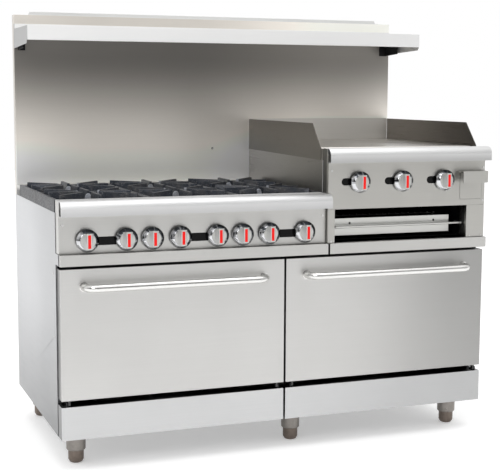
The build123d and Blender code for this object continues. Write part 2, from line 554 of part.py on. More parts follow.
# grease drawer, its front flush in the right end of the griddle panel
node("grease_drawer", group([
    round_plate(DR_X[0], DR_X[1], GPANEL_Y - 0.4, GPANEL_Y + 1.1, DR_Z[0], DR_Z[1], 7.2),
    box(DR_X[0] + 8, DR_X[1] - 8, GPANEL_Y + 1.1, 180.0, DR_Z[0] + 7, DR_Z[0] + 8.5),
    box(DR_X[0] + 8, DR_X[0] + 9.5, GPANEL_Y + 1.1, 180.0, DR_Z[0] + 8.5, 888.0),
    box(DR_X[1] - 9.5, DR_X[1] - 8, GPANEL_Y + 1.1, 180.0, DR_Z[0] + 8.5, 888.0),
    box(DR_X[0] + 9.5, DR_X[1] - 9.5, 178.5, 180.0, DR_Z[0] + 8.5, 888.0),
    # pull handle: bent strip
    fuse([box(1417.0, 1516.0, -93.5, GPANEL_Y - 0.4, 935.0, 937.0), box(1417.0, 1516.0, -95.0, -93.0, 896.0, 937.0), box(1424.5, 1511.0, GPANEL_Y - 2.4, GPANEL_Y - 0.4, 925.0, 937.0)]),
]))


# ----------------------------------------------------------- crumb trays
def tray(x0, x1, px0, px1):
    front = box(x0, x1, LIP_Y, LIP_Y + T, LIP_Z0, LIP_Z1)
    front = front + box(x0, x1, LIP_Y, -46.5, LIP_Z1 - T, LIP_Z1) + box(x0, x1, LIP_Y, -20.0, LIP_Z0, LIP_Z0 + T)
    front = front + box(x0, x0 + T, LIP_Y, -46.5, LIP_Z0, LIP_Z1) + box(x1 - T, x1, LIP_Y, -46.5, LIP_Z0, LIP_Z1)
    return group([
        front,
        box(px0, px1, -20.0, 620.0, LIP_Z0, LIP_Z0 + T),
        box(px0, px0 + T, -20.0, 620.0, LIP_Z0 + T, 688.0),
        box(px1 - T, px1, -20.0, 620.0, LIP_Z0 + T, 688.0),
        box(px0 + T, px1 - T, -20.0, -18.5, LIP_Z0 + T, 688.0),
        box(px0 + T, px1 - T, 618.5, 620.0, LIP_Z0 + T, 688.0),
    ])


node("crumb_tray_left", tray(*LIP_L, 18.0, 908.0))
node("crumb_tray_right", tray(*LIP_R, 928.0, 1506.0))
# fixed rails: rack guides in the ovens, runners for the broiler rack and the trays
node("rack_and_tray_rails", group(guides + broiler_runners + [
    box(T, 40.0, 10.0, 640.0, 662.0, 664.5), box(895.0, 945.0, 10.0, 640.0, 662.0, 664.5), box(1480.0, W - T, 10.0, 640.0, 662.0, 664.5),
]))

# -------------------------------------------------- backguard and high shelf
node("backguard", group([
    box(0, W, RISER_Y, RISER_Y + T, TOP_Z, RISER_TOP),
    box(0, T, RISER_Y + T, BACK_Y - T, TOP_Z, RISER_TOP),
    box(W - T, W, RISER_Y + T, BACK_Y - T, TOP_Z, RISER_TOP),
    box(0, W, BACK_Y - T, BACK_Y, TOP_Z, RISER_TOP),
]))
node("flue_cap", prism_y([(57, RISER_TOP), (1476, RISER_TOP), (1467, CAP_TOP), (63, CAP_TOP)], BACK_Y - 6, BACK_Y)
     + box(57, 1476, RISER_Y + 3, BACK_Y, RISER_TOP, RISER_TOP + T))
shelf = box(0, W, SHELF_Y0, RISER_Y, SHELF_TOP - T, SHELF_TOP)
shelf = shelf + box(0, W, SHELF_Y0, SHELF_Y0 + T, SHELF_LIP_Z, SHELF_TOP) + box(T, W - T, SHELF_Y0, SHELF_Y0 + 14, SHELF_LIP_Z, SHELF_LIP_Z + T)
shelf = shelf + box(0, W, RISER_Y - T, RISER_Y, SHELF_TOP, SHELF_TOP + 18)
for x0, x1 in ((0, T), (W - T, W)):
    shelf = shelf + prism_x([(SHELF_Y0, SHELF_LIP_Z), (SHELF_Y0 + 10, 1371.9), (RISER_Y, 1363.0), (RISER_Y, SHELF_TOP), (SHELF_Y0, SHELF_TOP)], x0, x1)
node("high_shelf", shelf)
node("shelf_brackets", group([
    fuse([prism_x([(RISER_Y, 1356.0), (RISER_Y, SHELF_TOP - T), (RISER_Y - 106, SHELF_TOP - T), (RISER_Y - 106, 1362.0)], x, x + 2.5),
          box(min(x, x + 26 * s), max(x + 2.5, x + 26 * s), RISER_Y - 2.5, RISER_Y, 1356.0, SHELF_TOP - T)])
    for x, s in ((14.0, 1), (W - 16.5, -1))
]))

# ------------------------------------------------------- screws and rivets
sc = []
for x, z in ((14.0, 793.4), (902.0, 795.3)):
    sc.append(cyl_y(x, z, 4.0, PANEL_Y - 1.6, PANEL_Y))
for x, z in ((928.5, 946.5), (1517.0, 948.0), (1516.5, 831.3)):
    sc.append(cyl_y(x, z, 4.0, GPANEL_Y - 1.6, GPANEL_Y))
for x, z in ((1466.6, 706.2), (1513.2, 706.2), (928.0, 706.2)):
    sc.append(cyl_y(x, z, 3.0, GPANEL_Y - 1.2, GPANEL_Y))
sc.append(cyl_y(W / 2, 990.0, 4.5, RISER_Y - 1.6, RISER_Y))
for y, z in RIVETS:
    sc.append(cyl_x(y, z, 4.0, -RIVET_H, 0.0) + cyl_x(y, z, 2.2, 0.0, 4.0))
    sc.append(cyl_x(y, z, 4.0, W, W + RIVET_H) + cyl_x(y, z, 2.2, W - 4.0, W))
node("screws_and_rivets", group(sc))

# ------------------------------------------------------------------- export
lo = [1e9] * 3
hi = [-1e9] * 3
for name, shape in NODES.items():
    moved = Pos(-XC, -YC, 0) * shape
    if isinstance(moved, Compound) and len(moved.solids()) == 1:
        moved = moved.solids()[0]
    bb_ = moved.bounding_box()
    for i, (a, b) in enumerate(((bb_.min.X, bb_.max.X), (bb_.min.Y, bb_.max.Y), (bb_.min.Z, bb_.max.Z))):
        lo[i], hi[i] = min(lo[i], a), max(hi[i], b)
    export_step(moved, "parts/%s.step" % name)
print("nodes", len(NODES), "box", [round(v, 3) for v in lo], [round(v, 3) for v in hi])
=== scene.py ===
import bpy
import bmesh
import math
from mathutils import Matrix, Vector


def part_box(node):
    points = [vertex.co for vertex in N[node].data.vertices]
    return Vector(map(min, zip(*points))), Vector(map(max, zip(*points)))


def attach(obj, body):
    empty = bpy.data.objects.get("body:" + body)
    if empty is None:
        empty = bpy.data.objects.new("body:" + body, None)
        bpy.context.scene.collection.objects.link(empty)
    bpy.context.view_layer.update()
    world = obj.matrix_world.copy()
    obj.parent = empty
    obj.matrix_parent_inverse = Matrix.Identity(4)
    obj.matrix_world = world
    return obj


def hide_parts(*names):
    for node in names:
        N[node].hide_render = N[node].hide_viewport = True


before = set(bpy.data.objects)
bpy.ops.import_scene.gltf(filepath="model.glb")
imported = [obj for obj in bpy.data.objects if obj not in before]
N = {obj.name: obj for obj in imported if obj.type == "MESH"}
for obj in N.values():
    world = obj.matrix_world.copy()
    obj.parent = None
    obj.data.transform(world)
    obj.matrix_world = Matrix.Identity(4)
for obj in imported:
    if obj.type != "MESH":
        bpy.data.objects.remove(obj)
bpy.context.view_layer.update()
SCENE = bpy.context.scene
COLL = SCENE.collection

# ------------------------------------------------------------------ camera
cam_data = bpy.data.cameras.new("view_camera")
cam_data.sensor_width = 36.0
cam_data.lens = 84.535
cam_data.shift_x = -0.0018
cam_data.shift_y = -0.0068
cam_data.clip_end = 100.0
cam = bpy.data.objects.new("view_camera", cam_data)
COLL.objects.link(cam)
right = Vector((0.93472788, -0.3553402, 0.00413915))
down = Vector((-0.03829935, -0.11231316, -0.9929345))
fwd = Vector((0.35329443, 0.92796503, -0.11859154))
rot = Matrix((right, -down, -fwd)).transposed()
cam.matrix_world = Matrix.Translation((-1.4936, -3.96735, 1.2091)) @ rot.to_4x4()
SCENE.camera = cam
SCENE.view_settings.view_transform = "Standard"
SCENE.view_settings.look = "None"


# --------------------------------------------------------------- materials
def new_mat(name):
    m = bpy.data.materials.new(name)
    m.use_nodes = True
    nt = m.node_tree
    bsdf = nt.nodes["Principled BSDF"]
    return m, nt, bsdf


def coords(nt, scale):
    tc = nt.nodes.new("ShaderNodeTexCoord")
    mp = nt.nodes.new("ShaderNodeMapping")
    mp.inputs["Scale"].default_value = scale
    nt.links.new(tc.outputs["Object"], mp.inputs["Vector"])
    return mp.outputs["Vector"]


def noise(nt, vec, scale=1.0, detail=3.0, rough=0.5):
    n = nt.nodes.new("ShaderNodeTexNoise")
    n.inputs["Scale"].default_value = scale
    n.inputs["Detail"].default_value = detail
    n.inputs["Roughness"].default_value = rough
    nt.links.new(vec, n.inputs["Vector"])
    return n.outputs["Fac"]


def ramp(nt, fac, lo, hi, a=0.0, b=1.0):
    r = nt.nodes.new("ShaderNodeMapRange")
    r.inputs["From Min"].default_value = a
    r.inputs["From Max"].default_value = b
    r.inputs["To Min"].default_value = lo
    r.inputs["To Max"].default_value = hi
    nt.links.new(fac, r.inputs["Value"])
    return r.outputs["Result"]


def mix(nt, fac, c1, c2):
    m = nt.nodes.new("ShaderNodeMix")
    m.data_type = "RGBA"
    if isinstance(fac, float):
        m.inputs[0].default_value = fac
    else:
        nt.links.new(fac, m.inputs[0])
    for i, c in ((6, c1), (7, c2)):
        if isinstance(c, (tuple, list)):
            m.inputs[i].default_value = (*c[:3], 1.0)
        else:
            nt.links.new(c, m.inputs[i])
    return m.outputs[2]


def bump(nt, bsdf, height, strength, dist):
    b = nt.nodes.new("ShaderNodeBump")
    b.inputs["Strength"].default_value = strength
    b.inputs["Distance"].default_value = dist
    nt.links.new(height, b.inputs["Height"])
    nt.links.new(b.outputs["Normal"], bsdf.inputs["Normal"])


GRAIN = {"X": (5.0, 700.0, 700.0), "Y": (700.0, 5.0, 700.0), "Z": (700.0, 700.0, 5.0)}
BAND = {"X": (0.9, 70.0, 70.0), "Y": (70.0, 0.9, 70.0), "Z": (70.0, 70.0, 0.9)}


def gradient(nt, axis, a, b, lo, hi):
    """Smooth tone along one axis of the part, from lo at a to hi at b (metres); used to paint shade and light into
    base colours.
    """
    tc = nt.nodes.new("ShaderNodeTexCoord")
    sp = nt.nodes.new("ShaderNodeSeparateXYZ")
    nt.links.new(tc.outputs["Object"], sp.inputs[0])
    r = nt.nodes.new("ShaderNodeMapRange")
    r.interpolation_type = "SMOOTHSTEP"
    for k, v in (("From Min", a), ("From Max", b), ("To Min", lo), ("To Max", hi)):
        r.inputs[k].default_value = v
    nt.links.new(sp.outputs[axis], r.inputs["Value"])
    return r.outputs["Result"]


def steel(name, base, rough, grain="X", aniso=0.6, tint=0.05, fine=0.16, metallic=1.0, painted_shade_and_light=(), plain_from=None):
    """Brushed sheet: fine grain lines, faint wider bands, a slow cloud of tone, and painted shade and light as smooth
    gradients along the part's axes.
    """
    m, nt, b = new_mat(name)
    g = noise(nt, coords(nt, GRAIN[grain]), 1.0, 4.0, 0.65)
    w = noise(nt, coords(nt, BAND[grain]), 1.0, 3.0, 0.55)
    c = noise(nt, coords(nt, (3.0, 3.0, 3.0)), 1.0, 3.0, 0.5)
    dark = tuple(v * (1 - 1.6 * tint) for v in base)
    light = tuple(min(1.0, v * (1 + tint)) for v in base)
    tone = mix(nt, ramp(nt, g, 0.0, 1.0, 0.32, 0.68), dark, light)
    tone2 = mix(nt, ramp(nt, w, 0.0, 1.0, 0.2, 0.8), tuple(v * (1 - 0.5 * tint) for v in base), tuple(min(1.0, v * (1 + 0.4 * tint)) for v in base))
    both = mix(nt, 0.5, tone, tone2)
    cloud = mix(nt, ramp(nt, c, 0.0, 0.3, 0.35, 0.75), both, tuple(v * 0.93 for v in base))
    # painted shade and light: the gradients below are multiplied into the base colour
    painted_shade_and_light_factor = None
    for t in painted_shade_and_light:
        f = gradient(nt, *t)
        if painted_shade_and_light_factor is not None:
            mu = nt.nodes.new("ShaderNodeMath")
            mu.operation = "MULTIPLY"
            nt.links.new(painted_shade_and_light_factor, mu.inputs[0])
            nt.links.new(f, mu.inputs[1])
            f = mu.outputs[0]
        painted_shade_and_light_factor = f
    if painted_shade_and_light_factor is not None:
        if plain_from is not None:          # the rear face of the sheet (past plain_from in Y) takes a flat 0.8 in place of the painted shade and light
            m1 = nt.nodes.new("ShaderNodeMix")
            m1.data_type = "FLOAT"
            nt.links.new(gradient(nt, 1, plain_from, plain_from + 0.002, 0.0, 1.0), m1.inputs[0])
            nt.links.new(painted_shade_and_light_factor, m1.inputs[2])
            m1.inputs[3].default_value = 0.8
            painted_shade_and_light_factor = m1.outputs[0]
        cc = nt.nodes.new("ShaderNodeCombineColor")
        for i in range(3):
            nt.links.new(painted_shade_and_light_factor, cc.inputs[i])
        mm = nt.nodes.new("ShaderNodeMix")
        mm.data_type = "RGBA"
        mm.blend_type = "MULTIPLY"
        mm.clamp_result = True
        mm.inputs[0].default_value = 1.0
        nt.links.new(cloud, mm.inputs[6])
        nt.links.new(cc.outputs[0], mm.inputs[7])
        cloud = mm.outputs[2]
    nt.links.new(cloud, b.inputs["Base Color"])
    add = nt.nodes.new("ShaderNodeMath")
    add.operation = "ADD"
    nt.links.new(ramp(nt, g, -fine * rough, fine * rough, 0.25, 0.75), add.inputs[0])
    nt.links.new(ramp(nt, c, rough - 0.02, rough + 0.02, 0.3, 0.7), add.inputs[1])
    nt.links.new(add.outputs[0], b.inputs["Roughness"])
    b.inputs["Metallic"].default_value = metallic
    if aniso:
        b.inputs["Anisotropic"].default_value = aniso
        b.inputs["Anisotropic Rotation"].default_value = 0.25
        t = nt.nodes.new("ShaderNodeTangent")
        t.direction_type = "RADIAL"
        t.axis = "Z"
        nt.links.new(t.outputs["Tangent"], b.inputs["Tangent"])
    bump(nt, b, g, 0.035, 0.0003)
    return m


def plain_metal(name, base, rough, scale=180.0, tint=0.06, strength=0.08):
    m, nt, b = new_mat(name)
    n = noise(nt, coords(nt, (scale, scale, scale)), 1.0, 4.0, 0.6)
    c = noise(nt, coords(nt, (14.0, 14.0, 14.0)), 1.0, 3.0, 0.5)
    tone = mix(nt, ramp(nt, n, 0.0, 1.0, 0.3, 0.7), tuple(v * (1 - tint) for v in base), tuple(min(1, v * (1 + tint)) for v in base))
    tone = mix(nt, ramp(nt, c, 0.0, 0.5, 0.4, 0.8), tone, tuple(v * 0.82 for v in base))
    nt.links.new(tone, b.inputs["Base Color"])
    nt.links.new(ramp(nt, c, rough * 0.85, rough * 1.2, 0.3, 0.7), b.inputs["Roughness"])
    b.inputs["Metallic"].default_value = 1.0
    bump(nt, b, n, strength, 0.0004)
    return m


def coated(name, base, rough, scale=900.0, strength=0.1, dist=0.0003, tint=0.15, metallic=0.0, coat=0.0):
    m, nt, b = new_mat(name)
    n = noise(nt, coords(nt, (scale, scale, scale)), 1.0, 5.0, 0.6)
    c = noise(nt, coords(nt, (20.0, 20.0, 20.0)), 1.0, 3.0, 0.5)
    tone = mix(nt, ramp(nt, n, 0.0, 1.0, 0.3, 0.7), tuple(v * (1 - tint) for v in base), tuple(min(1, v * (1 + tint)) for v in base))
    nt.links.new(tone, b.inputs["Base Color"])
    nt.links.new(ramp(nt, c, rough * 0.85, rough * 1.15, 0.3, 0.7), b.inputs["Roughness"])
    b.inputs["Metallic"].default_value = metallic
    b.inputs["Coat Weight"].default_value = coat
    b.inputs["Coat Roughness"].default_value = 0.12
    bump(nt, b, n, strength, dist)
    return m


BASE = (0.575, 0.57, 0.552)
EDGE_SHADE = (1, -0.3752, -0.3735, 1.0, 0.30)      # folded returns behind the front faces
# painted shade: the doors darken towards their right end, with the painted edge shade on the folded returns
DOOR_PAINTED_SHADE = ((0, 0.10, 0.78, 1.0, 0.62), EDGE_SHADE)
M = {
    "front": steel("brushed_front", BASE, 0.36, "X", 0.6, tint=0.04),
    # kick panels: painted shade, darker towards the right end and on the folded returns
    "kick": steel("brushed_kick", (0.595, 0.598, 0.60), 0.36, "X", 0.6, tint=0.04, painted_shade_and_light=((0, 0.0, 0.75, 1.0, 0.80), EDGE_SHADE)),
    "door": steel("brushed_door", (0.612, 0.607, 0.594), 0.38, "X", 0.6, tint=0.035, painted_shade_and_light=DOOR_PAINTED_SHADE),
    # side panels: painted shade, darker towards the bottom and the front; painted light, lighter near the top
    "side": steel("brushed_side", (0.530, 0.536, 0.548), 0.38, "Y", 0.5, tint=0.04, painted_shade_and_light=((2, 0.08, 0.62, 0.46, 1.0), (1, -0.32, 0.30, 0.86, 1.12), (2, 0.55, 0.85, 1.0, 1.08))),
    # griddle side: a darker copy of the side steel, darker still towards the front, painted shade
    "gside": steel("griddle_side_sheet", (0.36, 0.345, 0.325), 0.30, "Y", 0.5, tint=0.05, painted_shade_and_light=((1, -0.33, 0.25, 0.75, 1.1),)),
    # griddle front: painted shade on the side returns behind the front plane
    "gfront": steel("griddle_front_sheet", (0.500, 0.492, 0.466), 0.36, "X", 0.6, tint=0.04, painted_shade_and_light=((1, -0.366, -0.360, 1.0, 0.30),)),
    # backguard: painted shade darkening up to the underside of the high shelf; painted light brightening the band
    # above the shelf and the left and right ends
    "guard": steel("brushed_backguard", (0.88, 0.832, 0.765), 0.34, "X", 0.5, tint=0.03, metallic=0.52,
                   painted_shade_and_light=((2, 0.92, 1.34, 1.24, 0.21), (2, 1.40, 1.44, 1.0, 3.9), (0, -0.75, -0.45, 1.08, 1.0), (0, -0.1, 0.50, 1.0, 1.5)), plain_from=0.3778),
    "band": steel("brushed_flue", (0.80, 0.80, 0.79), 0.40, "X", 0.3, tint=0.03, metallic=0.6),
    # bullnose rails: painted shade, darker towards the bottom of each rail
    "nose": steel("rolled_rail", (0.72, 0.72, 0.723), 0.56, "X", 0.3, tint=0.025, painted_shade_and_light=((2, 0.822, 0.852, 0.84, 1.0),)),
    "nose_g": steel("rolled_griddle_rail", (0.72, 0.72, 0.718), 0.56, "X", 0.3, tint=0.025, painted_shade_and_light=((2, 0.974, 1.006, 0.74, 1.0),)),
    # high shelf: painted shade on its left end wall
    "shelf": steel("brushed_shelf", (0.86, 0.86, 0.855), 0.50, "X", 0.3, tint=0.025, metallic=0.62, painted_shade_and_light=((0, -0.7632, -0.7605, 0.58, 1.0),)),
    "splash_b": steel("brushed_splash_rear", (0.80, 0.775, 0.73), 0.40, "X", 0.3, tint=0.04, metallic=0.6),
    # side splashes: near-black copies of the brushed steel, painted shade, with a front-to-back gradient
    "splash": steel("brushed_splash", (0.187, 0.175, 0.158), 0.30, "Y", 0.5, tint=0.08, painted_shade_and_light=((1, -0.30, 0.30, 1.05, 0.85),)),
    "splash_r": steel("brushed_splash_right", (0.183, 0.169, 0.153), 0.30, "Y", 0.5, tint=0.08, painted_shade_and_light=((1, -0.30, 0.30, 0.50, 1.25),)),
    # folded return: painted shade, dark at its front and rear ends
    "return": steel("post_return_sheet", (0.50, 0.495, 0.485), 0.34, "Z", 0.3, tint=0.05, painted_shade_and_light=((1, -0.363, -0.345, 0.18, 1.0), (1, -0.340, -0.322, 1.0, 0.22))),
    # burner box: painted shade below the grates
    "box": steel("burner_box_sheet", (0.66, 0.65, 0.63), 0.42, "X", 0.3, tint=0.05, painted_shade_and_light=((2, 0.846, 0.862, 0.20, 1.0),)),
    "galv": plain_metal("galvanised_sheet", (0.36, 0.36, 0.36), 0.45),
    # door inner sheets: a darkened copy of the galvanised sheet, painted shade
    "galv_dark": plain_metal("door_lining_painted_shade", (0.10, 0.10, 0.10), 0.45),
    "dark": coated("dark_cavity", (0.012, 0.012, 0.013), 0.42, 400.0, 0.1),
    "enamel": coated("black_enamel", (0.010, 0.010, 0.011), 0.30, 120.0, 0.05, 0.0004),
    "wire": steel("nickel_wire", (0.66, 0.66, 0.63), 0.30, "X", 0.0, tint=0.05),
    # broiler rack: painted shade on the wires inside the broiler, behind its front
    "rack": steel("rack_wire_and_front", (0.66, 0.66, 0.635), 0.32, "X", 0.0, tint=0.05, painted_shade_and_light=((1, -0.312, -0.300, 1.0, 0.16),)),
    "tube": steel("satin_tube", (0.72, 0.715, 0.70), 0.26, "X", 0.2, tint=0.03),
    "griddle": steel("ground_plate", (0.56, 0.54, 0.51), 0.30, "X", 0.4, tint=0.08),
    "burner": plain_metal("aluminised_tube", (0.30, 0.29, 0.28), 0.5),
    "leg": plain_metal("leg_steel", (0.235, 0.218, 0.202), 0.30, 90.0, 0.10),
    "foot": plain_metal("foot_steel", (0.17, 0.14, 0.12), 0.36, 90.0, 0.12),
    "pipe": coated("black_pipe", (0.03, 0.03, 0.03), 0.5, 500.0, 0.2),
    "brass": plain_metal("valve_brass", (0.62, 0.46, 0.20), 0.34),
    "screw": plain_metal("screw_steel", (0.62, 0.62, 0.61), 0.25, 400.0),
    "black": coated("black_gloss_window", (0.003, 0.003, 0.0032), 0.14, 60.0, 0.03),
    "red": coated("red_indicator", (0.80, 0.010, 0.008), 0.42, 700.0, 0.06, tint=0.06),
}
for k in ("black", "enamel", "dark"):
    M[k].node_tree.nodes["Principled BSDF"].inputs["Specular IOR Level"].default_value = 0.12
M["red"].node_tree.nodes["Principled BSDF"].inputs["Specular IOR Level"].default_value = 0.2


def cast_iron(name, base, rough, worn):
    m, nt, b = new_mat(name)
    v = coords(nt, (1.0, 1.0, 1.0))
    fine = noise(nt, v, 900.0, 5.0, 0.65)
    mid = noise(nt, v, 150.0, 5.0, 0.65)
    big = noise(nt, v, 16.0, 3.0, 0.5)
    tone = mix(nt, ramp(nt, mid, 0.0, 1.0, 0.35, 0.68), tuple(c * 0.65 for c in base), tuple(c * 1.45 for c in base))
    tone = mix(nt, ramp(nt, big, 0.0, 0.7, 0.44, 0.70), tone, worn)
    scratch = noise(nt, coords(nt, (90.0, 30.0, 260.0)), 1.0, 5.0, 0.7)
    tone = mix(nt, ramp(nt, scratch, 0.0, 0.8, 0.56, 0.70), tone, tuple(min(1.0, c * 2.6) for c in worn))
    # painted shade: the outer left face of the grates is darkened
    f = gradient(nt, 0, -0.7634, -0.7618, 0.42, 1.0)
    cc = nt.nodes.new("ShaderNodeCombineColor")
    for i in range(3):
        nt.links.new(f, cc.inputs[i])
    mm = nt.nodes.new("ShaderNodeMix")
    mm.data_type = "RGBA"
    mm.blend_type = "MULTIPLY"
    mm.inputs[0].default_value = 1.0
    nt.links.new(tone, mm.inputs[6])
    nt.links.new(cc.outputs[0], mm.inputs[7])
    nt.links.new(mm.outputs[2], b.inputs["Base Color"])
    nt.links.new(ramp(nt, mid, rough - 0.1, rough + 0.12, 0.3, 0.7), b.inputs["Roughness"])
    b.inputs["Metallic"].default_value = 0.35
    add = nt.nodes.new("ShaderNodeMath")
    add.operation = "MULTIPLY_ADD"
    nt.links.new(mid, add.inputs[0])
    add.inputs[1].default_value = 0.8
    nt.links.new(fine, add.inputs[2])
    bump(nt, b, add.outputs[0], 0.35, 0.0009)
    return m


M["grip"] = steel("satin_grip", (0.60, 0.60, 0.59), 0.36, "Z", 0.0, tint=0.06)
M["iron"] = cast_iron("cast_iron_grate", (0.050, 0.057, 0.072), 0.38, (0.115, 0.112, 0.112))
# lighter copy of the cast iron: painted highlight on the finger ends that face the front
M["iron_tip"] = cast_iron("cast_iron_painted_highlight", (0.46, 0.48, 0.53), 0.38, (0.34, 0.34, 0.36))
M["iron_dark"] = cast_iron("cast_iron_burner", (0.03, 0.03, 0.032), 0.55, (0.05, 0.045, 0.04))


def chrome(name, x, z):
    """Plated ring of a dial: the base colour turns dark and light with the angle round the knob's own axis, a painted
    reflection.
    """
    m, nt, b = new_mat(name)
    tc = nt.nodes.new("ShaderNodeTexCoord")
    sub = nt.nodes.new("ShaderNodeVectorMath")
    sub.operation = "SUBTRACT"
    sub.inputs[1].default_value = (x, 0.0, z)
    nt.links.new(tc.outputs["Object"], sub.inputs[0])
    flat = nt.nodes.new("ShaderNodeVectorMath")
    flat.operation = "MULTIPLY"
    flat.inputs[1].default_value = (1.0, 0.0, 1.0)
    nt.links.new(sub.outputs[0], flat.inputs[0])
    nm = nt.nodes.new("ShaderNodeVectorMath")
    nm.operation = "NORMALIZE"
    nt.links.new(flat.outputs[0], nm.inputs[0])
    off = nt.nodes.new("ShaderNodeVectorMath")
    off.operation = "ADD"
    off.inputs[1].default_value = (x * 3.0, 0.0, 1.7)
    nt.links.new(nm.outputs[0], off.inputs[0])
    n = noise(nt, off.outputs[0], 2.6, 2.0, 0.5)
    sp = nt.nodes.new("ShaderNodeSeparateXYZ")
    nt.links.new(nm.outputs[0], sp.inputs[0])
    k = nt.nodes.new("ShaderNodeMath")
    k.operation = "MULTIPLY_ADD"
    nt.links.new(sp.outputs["Z"], k.inputs[0])
    k.inputs[1].default_value = -0.12
    nt.links.new(n, k.inputs[2])
    k2 = nt.nodes.new("ShaderNodeMath")
    k2.operation = "MULTIPLY_ADD"
    nt.links.new(sp.outputs["X"], k2.inputs[0])
    k2.inputs[1].default_value = -0.11
    nt.links.new(k.outputs[0], k2.inputs[2])
    # painted reflection: the ring is dark at its top and right, light at its left and bottom
    tone = mix(nt, ramp(nt, k2.outputs[0], 0.0, 1.0, 0.42, 0.56), (0.06, 0.065, 0.073), (0.58, 0.585, 0.60))
    nt.links.new(tone, b.inputs["Base Color"])
    f = noise(nt, coords(nt, (60.0, 60.0, 60.0)), 1.0, 3.0, 0.5)
    nt.links.new(ramp(nt, f, 0.06, 0.12, 0.3, 0.7), b.inputs["Roughness"])
    b.inputs["Metallic"].default_value = 1.0
    return m


M["chrome_dark"] = coated("chrome_shadow_edge", (0.05, 0.052, 0.056), 0.25, 300.0, 0.05, tint=0.1, metallic=1.0)


def satin_disc(name, x, z):
    """Turned face of a dial: rings about the knob's own axis."""
    m, nt, b = new_mat(name)
    tc = nt.nodes.new("ShaderNodeTexCoord")
    sub = nt.nodes.new("ShaderNodeVectorMath")
    sub.operation = "SUBTRACT"
    sub.inputs[1].default_value = (x, 0.0, z)
    nt.links.new(tc.outputs["Object"], sub.inputs[0])
    flat = nt.nodes.new("ShaderNodeVectorMath")
    flat.operation = "MULTIPLY"
    flat.inputs[1].default_value = (1.0, 0.0, 1.0)
    nt.links.new(sub.outputs[0], flat.inputs[0])
    ln = nt.nodes.new("ShaderNodeVectorMath")
    ln.operation = "LENGTH"
    nt.links.new(flat.outputs[0], ln.inputs[0])
    mul = nt.nodes.new("ShaderNodeMath")
    mul.operation = "MULTIPLY"
    mul.inputs[1].default_value = 9000.0
    nt.links.new(ln.outputs["Value"], mul.inputs[0])
    sn = nt.nodes.new("ShaderNodeMath")
    sn.operation = "SINE"
    nt.links.new(mul.outputs[0], sn.inputs[0])
    n = noise(nt, coords(nt, (300.0, 300.0, 300.0)), 1.0, 3.0, 0.5)
    tone = mix(nt, ramp(nt, sn.outputs[0], 0.0, 1.0, -1.0, 1.0), (0.52, 0.52, 0.50), (0.66, 0.66, 0.64))
    nt.links.new(tone, b.inputs["Base Color"])
    nt.links.new(ramp(nt, n, 0.30, 0.40, 0.3, 0.7), b.inputs["Roughness"])
    b.inputs["Metallic"].default_value = 1.0
    bump(nt, b, sn.outputs[0], 0.15, 0.0003)
    return m


# --------------------------------------------------- CAD nodes keep shape
LOOK = {
    "side": ["side_panel_left", "side_panel_right"],
    "gside": ["griddle_side_left"],
    "kick": ["kick_panel_left", "kick_panel_right"],
    "front": ["control_panel", "crumb_tray_left", "crumb_tray_right", "rear_panel"],
    "gfront": ["griddle_panel", "broiler_posts", "grease_drawer"],
    "door": ["door_outer_left", "door_outer_right"],
    "guard": ["backguard"],
    "band": ["flue_cap"],
    "splash_b": ["splash_rear"],
    "shelf": ["high_shelf"],
    "nose": ["bullnose_rail"],
    "nose_g": ["griddle_bullnose"],
    "splash": ["splash_left"],
    "splash_r": ["splash_right"],
    "galv": ["base_pan", "rack_and_tray_rails", "grease_trough"],
    "box": ["burner_box"],
    "galv_dark": ["door_inner_left", "door_inner_right"],
    "dark": ["oven_face_frame", "shelf_brackets", "hinge_brackets"],
    "enamel": ["oven_liner_left", "oven_liner_right", "broiler_liner"],
    "wire": ["oven_racks"],
    "rack": ["broiler_rack"],
    "tube": ["door_handle_left", "door_handle_right"],
    "griddle": ["griddle_plate"],
    "burner": ["griddle_burners", "oven_burners"],
    "iron": ["top_grates"],
    "iron_dark": ["burner_heads", "burner_venturis"],
    "leg": ["leg_sleeves"],
    "foot": ["leg_feet"],
    "pipe": ["gas_manifold"],
    "brass": ["gas_valves"],
    "screw": ["screws_and_rivets"],
}
EDGE = {  # softened edges, metres
    "side": 0.0006, "gside": 0.0006, "kick": 0.0008, "gfront": 0.0006, "band": 0.0006, "splash_b": 0.0006, "front": 0.0006, "door": 0.0012, "guard": 0.0006, "shelf": 0.0006, "nose": 0.0005, "nose_g": 0.0005, "splash": 0.0006, "splash_r": 0.0006,
    "iron": 0.0014, "griddle": 0.0015, "screw": 0.0006, 
}


def set_mat(obj, mat):
    obj.data.materials.clear()
    obj.data.materials.append(mat)
    for p in obj.data.polygons:
        p.material_index = 0


def soften(obj, width, angle=30.0):
    w = obj.modifiers.new("weld", "WELD")
    w.merge_threshold = 0.000005
    b = obj.modifiers.new("bevel", "BEVEL")
    b.width = width
    b.segments = 2
    b.limit_method = "ANGLE"
    b.angle_limit = math.radians(angle)
    b.use_clamp_overlap = True
    b.harden_normals = False


for key, names in LOOK.items():
    for n in names:
        set_mat(N[n], M[key])
        if key in EDGE:
            soften(N[n], EDGE[key])


# ----------------------------------------------------------- mesh helpers
def to_object(bm, name, mats, body, smooth=None):
    me = bpy.data.meshes.new(name)
    bm.normal_update()
    bm.to_mesh(me)
    bm.free()
    ob = bpy.data.objects.new(name, me)
    COLL.objects.link(ob)
    for m in mats:
        me.materials.append(m)
    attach(ob, body)
    return ob


